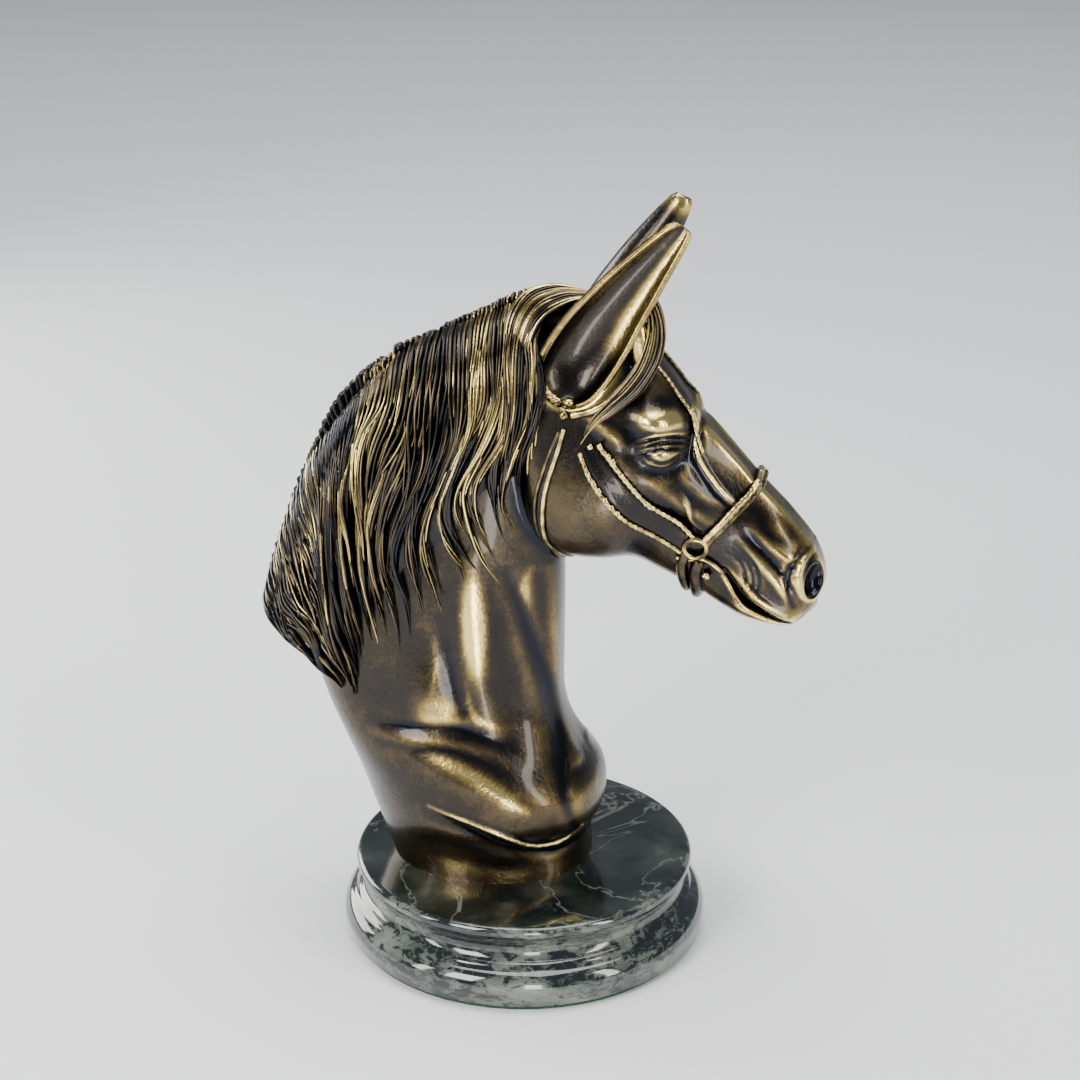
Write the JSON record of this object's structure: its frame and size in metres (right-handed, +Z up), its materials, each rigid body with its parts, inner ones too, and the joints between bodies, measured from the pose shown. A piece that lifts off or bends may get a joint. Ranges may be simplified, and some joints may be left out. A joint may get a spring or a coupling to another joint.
{
  "type": "bronze horse head bust on a turned stone plinth",
  "caption": "Cast horse-head bust with swept mane and bridle, bolted to a round turned marble plinth with a felt underside.",
  "frame": {"origin": "middle of the felt underside, where the plinth meets the table", "axes": "+X the way the horse looks, -Y its right side where the mane falls, +Z up"},
  "size_m": [0.2182, 0.1446, 0.2991],
  "materials": {
    "bronze": "antique bronze, dark patina with polished high spots",
    "gilt_bronze": "polished bronze",
    "green_marble": "polished dark green marble",
    "felt": "green felt",
    "steel": "zinc-plated steel"
  },
  "bodies": {
    "root": {"head_casting": "bronze", "neck_casting": "bronze", "ear_right": "bronze", "ear_left": "bronze", "forelock": "bronze", "mane_lock_withers": "bronze", "mane_lock_lower_rear": "bronze", "mane_lock_middle_rear": "bronze", "mane_lock_middle": "bronze", "mane_lock_middle_front": "bronze", "mane_lock_upper": "bronze", "mane_lock_cheek": "bronze", "mane_lock_poll": "bronze", "crownpiece": "gilt_bronze", "browband": "gilt_bronze", "throatlatch": "gilt_bronze", "noseband": "gilt_bronze", "chin_strap": "gilt_bronze", "cheekpiece_right": "gilt_bronze", "cheekpiece_left": "gilt_bronze", "keeper_upper_right": "gilt_bronze", "keeper_upper_left": "gilt_bronze", "keeper_lower_right": "gilt_bronze", "keeper_lower_left": "gilt_bronze", "bit_ring_right": "gilt_bronze", "bit_ring_left": "gilt_bronze", "crown_knob_right": "gilt_bronze", "crown_knob_left": "gilt_bronze", "marble_plinth": "green_marble", "felt_pad": "felt", "mounting_stud": "steel", "stud_nut": "steel", "stud_washer": "steel", "anchor_bar": "steel", "bar_nut_lower": "steel", "bar_nut_upper": "steel"}
  },
  "joints": []
}
